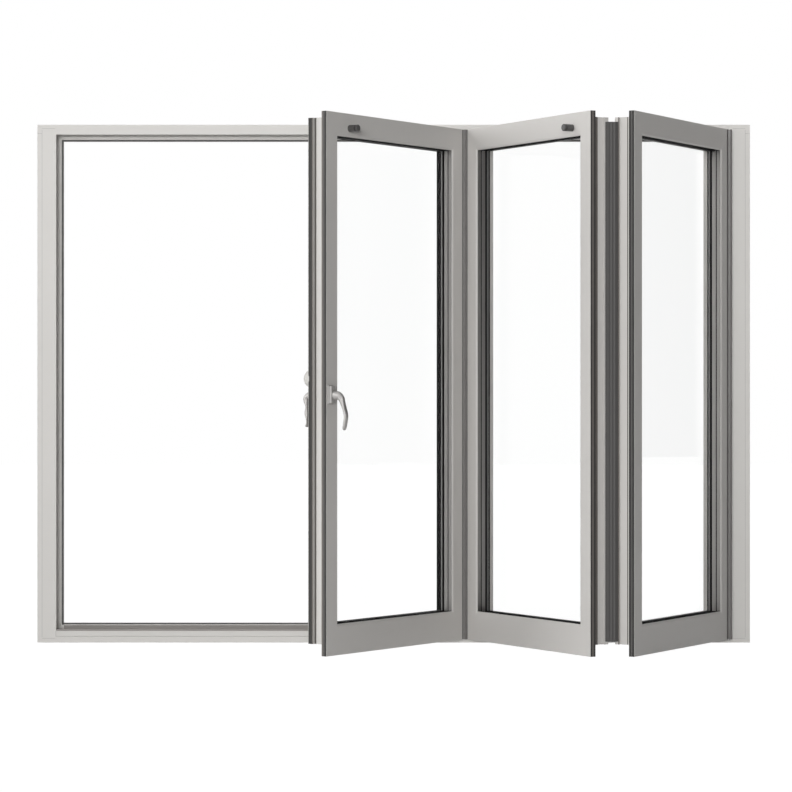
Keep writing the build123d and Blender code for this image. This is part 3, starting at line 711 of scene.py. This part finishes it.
def edge_profile(shape, leaf, points, z_range):
    """Adds a strip on a leaf's near edge: points are (distance in from the edge, depth)."""
    z0, z1 = z_range
    place = (lambda a: a) if leaf.hinge_on_right else (lambda a: leaf.width - a)
    corners = [leaf.at(place(a), t, z0) for a, t in points]
    add_prism(shape, corners, Vector((0, 0, z1 - z0)))


def ribbed_outline(base, start, stop, ribs, height):
    """Outline of a strip with rounded ribs that stand out from a base line."""
    pitch = (stop - start) / ribs
    outline = [(base, start)]
    for index in range(ribs):
        foot = start + index * pitch
        for share, rise in RIB_SHAPE:
            outline.append((base - rise * height, foot + share * pitch))
    outline.append((base, stop))
    return outline


def flat_strip(base, start, stop, height):
    """Outline of a thin flat strip on a base line."""
    return [(base, start), (base - height, start), (base - height, stop), (base, stop)]


class FOLDING_DOOR_OT_edge_seals(bpy.types.Operator):
    """Makes the dark ribbed seals and their carriers on the leaves' near edges; the lighter greys
    of some seal bands are painted sheen.
    """

    bl_idname = "folding_door.edge_seals"
    bl_label = "Edge seals"

    def execute(self, context):
        film = context.scene.folding_door_pieces.edge_film
        height = (FLANGE_BOTTOM, FLANGE_TOP)
        body = (FLANGE_BOTTOM + BOTTOM_LAP, FLANGE_TOP - TOP_LAP)
        band = (FLANGE_DEPTH - SEAL_MARGIN) / 3
        for leaf, finishes, carrier_end in EDGE_SEALS:
            for index, finish in enumerate(finishes):
                shape = bmesh.new()
                foot = SEAL_MARGIN + index * band
                edge_profile(shape, leaf, ribbed_outline(0, foot, foot + band, 1, film), height)
                shaped_piece(f"{leaf.name}_edge_seal_{index + 1}", shape, finish)
            shape = bmesh.new()
            edge_profile(shape, leaf, [(STILE_LAP, FLANGE_DEPTH), (CARRIER_LAP, FLANGE_DEPTH),
                                       (CARRIER_LAP, FLANGE_DEPTH + CARRIER_LIP),
                                       (STILE_LAP - 3 * film, carrier_end - BEVEL),
                                       (STILE_LAP, carrier_end)], body)
            if leaf is END:
                # Dark strips on the end leaf's edge, one of them painted shadow at the rear leg's
                # root
                for base, start, stop in END_STRIPS:
                    edge_profile(shape, leaf, flat_strip(base, start, stop, film), body)
            shaped_piece(f"{leaf.name}_seal_carrier", shape, "carrier")
        self.lock_edge(film, body)
        return {"FINISHED"}

    def lock_edge(self, film, body):
        """The lock stile's strips: a brownish one in its groove and at its rear leg's root, which
        is painted shade, and a dark one at the rear.
        """
        floor = STILE_LAP + LOCK_GROOVE_DEPTH
        groove = LOCK_GROOVE + LOCK_LIP
        shape = bmesh.new()
        edge_profile(shape, TRAFFIC, ribbed_outline(floor, groove, LEG_START, 2, LOCK_RIB), body)
        edge_profile(shape, TRAFFIC, ribbed_outline(LEG_LAP, LEG_START, REAR_SEAL[0], 1, film),
                     body)
        # Brown ribs and strip: painted shade in the groove and at the leg's root
        shaped_piece("traffic_leaf_lock_strip", shape, "carrier")
        shape = bmesh.new()
        edge_profile(shape, TRAFFIC, ribbed_outline(LEG_LAP, *REAR_SEAL, 2, film), body)
        shaped_piece("traffic_leaf_rear_seal", shape, "edge")
        shape = bmesh.new()
        edge_profile(shape, TRAFFIC, [(STILE_LAP, LOCK_GROOVE), (STILE_LAP, groove - BEVEL),
                                      (STILE_LAP + BEVEL, groove), (floor, groove),
                                      (floor, LOCK_GROOVE)], body)
        lip = LEG_LAP + REAR_LIP_WIDTH
        edge_profile(shape, TRAFFIC, [(LEG_LAP, LEAF_DEPTH), (LEG_LAP, REAR_SEAL[1]),
                                      (LEG_LAP + REAR_BEVEL, REAR_LIP_END),
                                      (lip - BEVEL, REAR_LIP_END), (lip, LEAF_DEPTH)], body)
        shaped_piece("traffic_leaf_edge_lips", shape, "leaf")


class FOLDING_DOOR_OT_threshold(bpy.types.Operator):
    """Makes the darker film on the sill's top and upstand, which is painted shade, and the ribs in
    the frame's reveal.
    """

    bl_idname = "folding_door.threshold"
    bl_label = "Threshold"

    def execute(self, context):
        for name, boxes, finish in (("threshold_cover", SILL_SHADE_BOXES, "threshold"),
                                    ("reveal_ribs", RIB_BOXES, "frame")):
            shape = bmesh.new()
            add_boxes(shape, boxes)
            shaped_piece(name, shape, finish)
        return {"FINISHED"}


class FOLDING_DOOR_OT_reveal_trims(bpy.types.Operator):
    """Makes the dark trims on the inside faces of the leaves' openings; the black on their top and
    bottom faces, in their groove and at the traffic leaf's rear is painted shade.
    """

    bl_idname = "folding_door.reveal_trims"
    bl_label = "Reveal trims"

    def execute(self, context):
        for leaf in LEAVES:
            for part, sides, finish, slot in (
                    ("trim", UPRIGHT_SIDES, "trim", "leaf_aluminium"),
                    # The top and bottom bands and the groove fill are black: painted shade
                    ("seal", LEVEL_SIDES, "gasket", "glazing_gasket")):
                shape = bmesh.new()
                for band in TRIM_BANDS:
                    leaf_ring(shape, leaf, STILE_FACE, TRIM_FILM, band, SIGHT_BOTTOM, SIGHT_TOP,
                              sides)
                if part == "seal":
                    leaf_ring(shape, leaf, STILE_FACE - GROOVE_SHADE_FILL, GROOVE_SHADE_FILL, GROOVE_SHADE_BAND,
                              SIGHT_BOTTOM - GROOVE_SHADE_FILL, SIGHT_TOP + GROOVE_SHADE_FILL)
                shaped_piece(f"{leaf.name}_reveal_{part}", shape, finish)
        # On the traffic leaf alone the rear of the opening's inside face is black: painted shade
        shape = bmesh.new()
        leaf_ring(shape, TRAFFIC, STILE_FACE, 3 * TRIM_FILM, (BEAD_PLACE, LEAF_DEPTH - BEAD_BEVEL),
                  SIGHT_BOTTOM, SIGHT_TOP)
        shaped_piece("traffic_leaf_rear_trim", shape, "gasket")
        return {"FINISHED"}


class FOLDING_DOOR_OT_hinge_lines(bpy.types.Operator):
    """Makes the dark strips along the leaves' hinged edges; at the meeting hinge they carry
    painted shade of the gaps beside the barrel.
    """

    bl_idname = "folding_door.hinge_lines"
    bl_label = "Hinge lines"

    def execute(self, context):
        shape = bmesh.new()
        for leaf, width in HINGE_SHADE_STRIPS:
            self.strip(shape, leaf, width)
        # Dark rubber strips with the gaps' shade painted in
        shaped_piece("hinge_lines", shape, "edge")
        shape = bmesh.new()
        self.strip(shape, END, JAMB_COVER)
        shaped_piece("jamb_hinge_cover", shape, "hinge")
        return {"FINISHED"}

    def strip(self, shape, leaf, width):
        """Adds a thin strip on a leaf's front face, along its hinged edge."""
        reach = (HINGE_MARGIN, width)
        if leaf.hinge_on_right:
            reach = (leaf.width - width, leaf.width - HINGE_MARGIN)
        leaf_bar(shape, leaf, reach, (-HINGE_FILM, 0),
                 (FLANGE_BOTTOM + END_MARGIN, FLANGE_TOP - END_MARGIN))


class FOLDING_DOOR_OT_front_lever(bpy.types.Operator):
    """Makes the front lever with its full arm, in place of the slimmer one."""

    bl_idname = "folding_door.front_lever"
    bl_label = "Front lever"

    def execute(self, context):
        stations = [(share, *(reach * MM for reach in reaches))
                    for share, *reaches in LEVER_STATIONS]
        line = rounded_path([(out * MM, up * MM) for out, up in LEVER_POINTS],
                            [radius * MM for radius in LEVER_RADII])
        shape = bmesh.new()
        bent_bar(shape, lambda side, out, up: TRAFFIC.at(SPINDLE_INSET + side, -out, up), line,
                 stations)
        lever = shaped_piece("front_lever_bow", shape, "steel", HANDLE_SET)
        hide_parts("front_lever")
        return {"FINISHED"}


class FOLDING_DOOR_OT_joint_lines(bpy.types.Operator):
    """Makes the hairline joints between the frame's profiles."""

    bl_idname = "folding_door.joint_lines"
    bl_label = "Joint lines"

    def execute(self, context):
        half = context.scene.folding_door_pieces.joint_width / MM / 2
        mirrored = [(-x1, z0, -x0, z1) for x0, z0, x1, z1 in SIDE_JOINTS]
        shape = bmesh.new()
        add_boxes(shape, [(x0 - half, x1 + half, -JOINT_FILM, 0, z0 - half, z1 + half)
                          for x0, z0, x1, z1 in (*SILL_JOINTS, *SIDE_JOINTS, *mirrored)])
        shaped_piece("joint_lines", shape, "joint")
        return {"FINISHED"}


def screw_head_mesh(radius):
    """A low countersunk head with a six sided recess, its top towards local Z."""
    rings = []
    for reach, height in HEAD_RINGS + RECESS_RINGS:
        ring = []
        for index in range(HEAD_SIDES):
            angle = 2 * math.pi * index / HEAD_SIDES
            corner = (reach, height) in RECESS_RINGS and index % (HEAD_SIDES // RECESS_SIDES) == 0
            out = reach * (RECESS_CORNER if corner else 1.0)
            ring.append(Vector((math.cos(angle) * out, math.sin(angle) * out, height)) * radius)
        rings.append(ring)
    shape = bmesh.new()
    add_skin(shape, rings)
    return finish_mesh("screw_head", shape)


def screw_rows_tree():
    """Geometry Nodes: sets heads in rows on the given points, each turned by chance."""
    tree = bpy.data.node_groups.new("screw_rows", "GeometryNodeTree")
    face = tree.interface
    face.new_socket(name="Points", in_out="INPUT", socket_type="NodeSocketGeometry")
    sockets = {}
    for label, kind, value in (("Head", "NodeSocketObject", None), ("Count", "NodeSocketInt", 3),
                               ("Step", "NodeSocketFloat", 0.04),
                               ("Facing", "NodeSocketFloat", 0.0),
                               ("Seed", "NodeSocketInt", SCREW_SEED),
                               ("Finish", "NodeSocketMaterial", None)):
        sockets[label] = face.new_socket(name=label, in_out="INPUT", socket_type=kind)
        if value is not None:
            sockets[label].default_value = value
    face.new_socket(name="Heads", in_out="OUTPUT", socket_type="NodeSocketGeometry")
    inputs = tree.nodes.new("NodeGroupInput").outputs
    step = add_node(tree, "ShaderNodeCombineXYZ", Z=inputs["Step"])
    row = add_node(tree, "GeometryNodeMeshLine", Count=inputs["Count"], Offset=step.outputs[0])
    rows = add_node(tree, "GeometryNodeInstanceOnPoints", Points=inputs["Points"],
                    Instance=row.outputs["Mesh"])
    places = add_node(tree, "GeometryNodeRealizeInstances", Geometry=rows.outputs["Instances"])
    head = add_node(tree, "GeometryNodeObjectInfo", Object=inputs["Head"])
    turn = add_node(tree, "FunctionNodeRandomValue", Max=math.pi / 3, Seed=inputs["Seed"])
    chance = [socket for socket in turn.outputs if socket.enabled][0]
    around = add_node(tree, "ShaderNodeCombineXYZ", Z=chance)
    upright = add_node(tree, "FunctionNodeEulerToRotation", {0: around.outputs[0]})
    lean = add_node(tree, "ShaderNodeCombineXYZ", X=-math.pi / 2, Z=inputs["Facing"])
    leaned = add_node(tree, "FunctionNodeEulerToRotation", {0: lean.outputs[0]})
    aim = tree.nodes.new("FunctionNodeRotateRotation")
    aim.rotation_space = "LOCAL"
    feed(tree, leaned.outputs[0], aim.inputs["Rotation"])
    feed(tree, upright.outputs[0], aim.inputs["Rotate By"])
    heads = add_node(tree, "GeometryNodeInstanceOnPoints", Points=places.outputs["Geometry"],
                     Instance=head.outputs["Geometry"], Rotation=aim.outputs[0])
    real = add_node(tree, "GeometryNodeRealizeInstances", Geometry=heads.outputs["Instances"])
    finish = add_node(tree, "GeometryNodeSetMaterial", Geometry=real.outputs["Geometry"],
                      Material=inputs["Finish"])
    add_node(tree, "NodeGroupOutput", Heads=finish.outputs["Geometry"])
    return tree, {label: entry.identifier for label, entry in sockets.items()}


def plain_from_nodes(name, tree, identifiers, points, values):
    """Runs a node tree on a set of points and returns the result as a plain mesh."""
    cloud = bpy.data.meshes.new(f"{name}_points")
    cloud.from_pydata(points, [], [])
    maker = bpy.data.objects.new(f"{name}_maker", cloud)
    bpy.context.scene.collection.objects.link(maker)
    modifier = maker.modifiers.new("rows", "NODES")
    modifier.node_group = tree
    for label, value in values.items():
        modifier[identifiers[label]] = value
    maker.update_tag()
    graph = bpy.context.evaluated_depsgraph_get()
    mesh = bpy.data.meshes.new_from_object(maker.evaluated_get(graph), depsgraph=graph)
    mesh.name = name
    maker.modifiers.clear()
    bpy.data.objects.remove(maker)
    return mesh


class FOLDING_DOOR_OT_screws(bpy.types.Operator):
    """Sets the screws in the fold hinges' plates, row by row."""

    bl_idname = "folding_door.screws"
    bl_label = "Hinge screws"

    def execute(self, context):
        sizes = context.scene.folding_door_pieces
        head = bpy.data.objects.new("screw_head", screw_head_mesh(sizes.screw_radius))
        context.scene.collection.objects.link(head)
        tree, identifiers = screw_rows_tree()
        reach = (sizes.screws - 1) * sizes.screw_step / 2
        back = LEAF_DEPTH + FOLD_HINGE_PLATE
        for leaf, centre in ((MIDDLE, MIDDLE.width - SCREW_INSET), (END, SCREW_INSET)):
            points = [leaf.at(centre, back, height - reach) for height in FOLD_HINGE_HEIGHTS]
            values = {"Head": head, "Count": sizes.screws, "Step": sizes.screw_step,
                      "Facing": leaf.turn(), "Seed": SCREW_SEED, "Finish": MATERIALS["steel"]}
            mesh = plain_from_nodes(f"{leaf.name}_hinge_screws", tree, identifiers, points, values)
            if not mesh.vertices:
                raise RuntimeError("the screw rows came out empty")
            new_piece(f"{leaf.name}_hinge_screws", mesh, "steel")
        bpy.data.objects.remove(head)
        return {"FINISHED"}


class FOLDING_DOOR_OT_stage(bpy.types.Operator):
    """Sets the floor, the lamps, the world and the camera."""

    bl_idname = "folding_door.stage"
    bl_label = "Stage"

    def execute(self, context):
        stage = context.scene.folding_door_stage
        scene = context.scene
        scene.view_settings.view_transform = "Standard"
        make_world(scene, stage.world_fill)
        make_floor()
        make_sun("front_light", stage.key_strength, stage.key_side, rise=4, spread=25)
        make_sun("left_light", stage.side_strength, stage.side_side, rise=5, spread=50)
        make_panel_light("low_light", stage.low_strength, place=(-0.1, -1.8, 0.3),
                         facing=(-0.3, -1, 0.1), size=(1.0, 0.4))
        make_panel_light("high_light", stage.high_strength, place=(0.5, -1.6, 2.9),
                         facing=(0.5, -1.2, 1), size=(1.0, 1.0))
        make_sun("top_light", stage.top_strength, math.radians(20), rise=80, spread=60)
        make_sun("rear_light", stage.rear_strength, math.radians(200), rise=30, spread=60)
        camera = bpy.data.objects.new("camera", bpy.data.cameras.new("camera"))
        scene.collection.objects.link(camera)
        camera.location = (stage.camera_x, stage.camera_y, stage.camera_z)
        camera.rotation_euler = (math.radians(90), 0, 0)
        camera.data.lens = stage.lens
        camera.data.sensor_width = SENSOR
        camera.data.clip_end = CLIP_END
        scene.camera = camera
        return {"FINISHED"}


def eye_share(tree, path):
    """1 for a ray that reaches the eye with no diffuse bounce between, else 0."""
    direct = math_node(tree, "MAXIMUM", path.outputs["Is Camera Ray"],
                       path.outputs["Is Transmission Ray"])
    seen = math_node(tree, "MAXIMUM", direct, path.outputs["Is Glossy Ray"])
    first = math_node(tree, "LESS_THAN", path.outputs["Diffuse Depth"], 0.5)
    return math_node(tree, "MULTIPLY", seen, first)


def mix_shaders(tree, share, lit, white, target):
    """Feeds a target with a lit shader, or for a share of it with a white one."""
    mix = add_node(tree, "ShaderNodeMixShader",
                   {0: share, 1: lit.outputs[0], 2: white.outputs[0]})
    feed(tree, mix.outputs[0], target)


def make_world(scene, fill):
    """A fill light, stronger from the left, that looks white to the eye and in reflections.

    Reflections that face right look darker, so the metal shades off towards that side.
    """
    world = bpy.data.worlds.new("studio")
    scene.world = world
    world.use_nodes = True
    tree = world.node_tree
    tree.nodes.clear()
    path = tree.nodes.new("ShaderNodeLightPath")
    place = tree.nodes.new("ShaderNodeTexCoord").outputs["Generated"]
    across = add_node(tree, "ShaderNodeSeparateXYZ", {0: place}).outputs["X"]
    strength = map_range(tree, across, FILL_SPAN, [fill * share for share in FILL_SHARES])
    fill_light = add_node(tree, "ShaderNodeBackground", Strength=strength)
    white = add_node(tree, "ShaderNodeBackground", Color=(1, 1, 1, 1))
    dimmed = math_node(tree, "SUBTRACT", 1.0, map_range(tree, across, WHITE_SPAN, WHITE_SHARES))
    reflected = math_node(tree, "GREATER_THAN", path.outputs["Glossy Depth"], 0.5)
    share = math_node(tree, "SUBTRACT", 1.0, math_node(tree, "MULTIPLY", dimmed, reflected))
    shown = math_node(tree, "MULTIPLY", eye_share(tree, path), share)
    output = tree.nodes.new("ShaderNodeOutputWorld")
    mix_shaders(tree, shown, fill_light, white, output.inputs[0])


def make_floor():
    """A pale floor that looks white where nothing shades it."""
    mesh = bpy.data.meshes.new("floor")
    reach = (-FLOOR_REACH, FLOOR_REACH)
    mesh.from_pydata([(x, y, -FLOOR_DROP) for x in reach for y in reach], [], [(0, 2, 3, 1)])
    floor = bpy.data.objects.new("floor", mesh)
    bpy.context.scene.collection.objects.link(floor)
    material, tree, shader = shader_material("pale_floor")
    shader.inputs["Base Color"].default_value = FLOOR_TONE
    shader.inputs["Roughness"].default_value = FLOOR_ROUGHNESS
    glow = add_node(tree, "ShaderNodeEmission", Strength=FLOOR_GLOW)
    path = tree.nodes.new("ShaderNodeLightPath")
    shown = math_node(tree, "MULTIPLY", eye_share(tree, path), FLOOR_GLOW_SHARE)
    mix_shaders(tree, shown, shader, glow, tree.nodes["Material Output"].inputs[0])
    mesh.materials.append(material)


def add_light(name, kind, energy, towards):
    """Adds a lamp that shines from a direction; returns its object."""
    lamp = bpy.data.lights.new(name, kind)
    lamp.energy = energy
    light = bpy.data.objects.new(name, lamp)
    bpy.context.scene.collection.objects.link(light)
    light.rotation_euler = towards.to_track_quat("Z", "Y").to_euler()
    light.visible_transmission = False
    return light


def make_sun(name, strength, side, rise, spread):
    """A soft distant light from a side in radians, a rise and with a spread in degrees."""
    height = math.radians(rise)
    towards = Vector((-math.sin(side) * math.cos(height), -math.cos(side) * math.cos(height),
                      math.sin(height)))
    light = add_light(name, "SUN", strength, towards)
    light.location = towards * SUN_DISTANCE
    light.data.angle = math.radians(spread)


def make_panel_light(name, power, place, facing, size):
    """A soft panel of light in front of the leaves, which no reflection shows."""
    light = add_light(name, "AREA", power, Vector(facing))
    light.location = place
    light.data.shape = "RECTANGLE"
    light.data.size, light.data.size_y = size
    light.visible_camera = False
    light.visible_glossy = False


class FOLDING_DOOR_PT_panel(bpy.types.Panel):
    """Lists the steps that dress the folding door."""

    bl_label = "Folding Door"
    bl_idname = "FOLDING_DOOR_PT_panel"
    bl_space_type = "VIEW_3D"
    bl_region_type = "UI"
    bl_category = "Folding Door"

    def draw(self, context):
        for operator in OPERATORS:
            self.layout.operator(operator.bl_idname)


OPERATORS = (
    FOLDING_DOOR_OT_finishes,
    FOLDING_DOOR_OT_glazing,
    FOLDING_DOOR_OT_edge_seals,
    FOLDING_DOOR_OT_threshold,
    FOLDING_DOOR_OT_reveal_trims,
    FOLDING_DOOR_OT_hinge_lines,
    FOLDING_DOOR_OT_front_lever,
    FOLDING_DOOR_OT_joint_lines,
    FOLDING_DOOR_OT_screws,
    FOLDING_DOOR_OT_stage,
)
CLASSES = (FinishSettings, PieceSettings, StageSettings, *OPERATORS, FOLDING_DOOR_PT_panel)


def register():
    for entry in CLASSES:
        bpy.utils.register_class(entry)
    bpy.types.Scene.folding_door_finish = PointerProperty(type=FinishSettings)
    bpy.types.Scene.folding_door_pieces = PointerProperty(type=PieceSettings)
    bpy.types.Scene.folding_door_stage = PointerProperty(type=StageSettings)


def unregister():
    del bpy.types.Scene.folding_door_stage
    del bpy.types.Scene.folding_door_pieces
    del bpy.types.Scene.folding_door_finish
    for entry in reversed(CLASSES):
        bpy.utils.unregister_class(entry)


def main():
    register()
    bpy.ops.folding_door.finishes()
    bpy.ops.folding_door.glazing()
    bpy.ops.folding_door.edge_seals()
    bpy.ops.folding_door.threshold()
    bpy.ops.folding_door.reveal_trims()
    bpy.ops.folding_door.hinge_lines()
    bpy.ops.folding_door.front_lever()
    bpy.ops.folding_door.joint_lines()
    bpy.ops.folding_door.screws()
    bpy.ops.folding_door.stage()


if __name__ == "__main__":
    main()
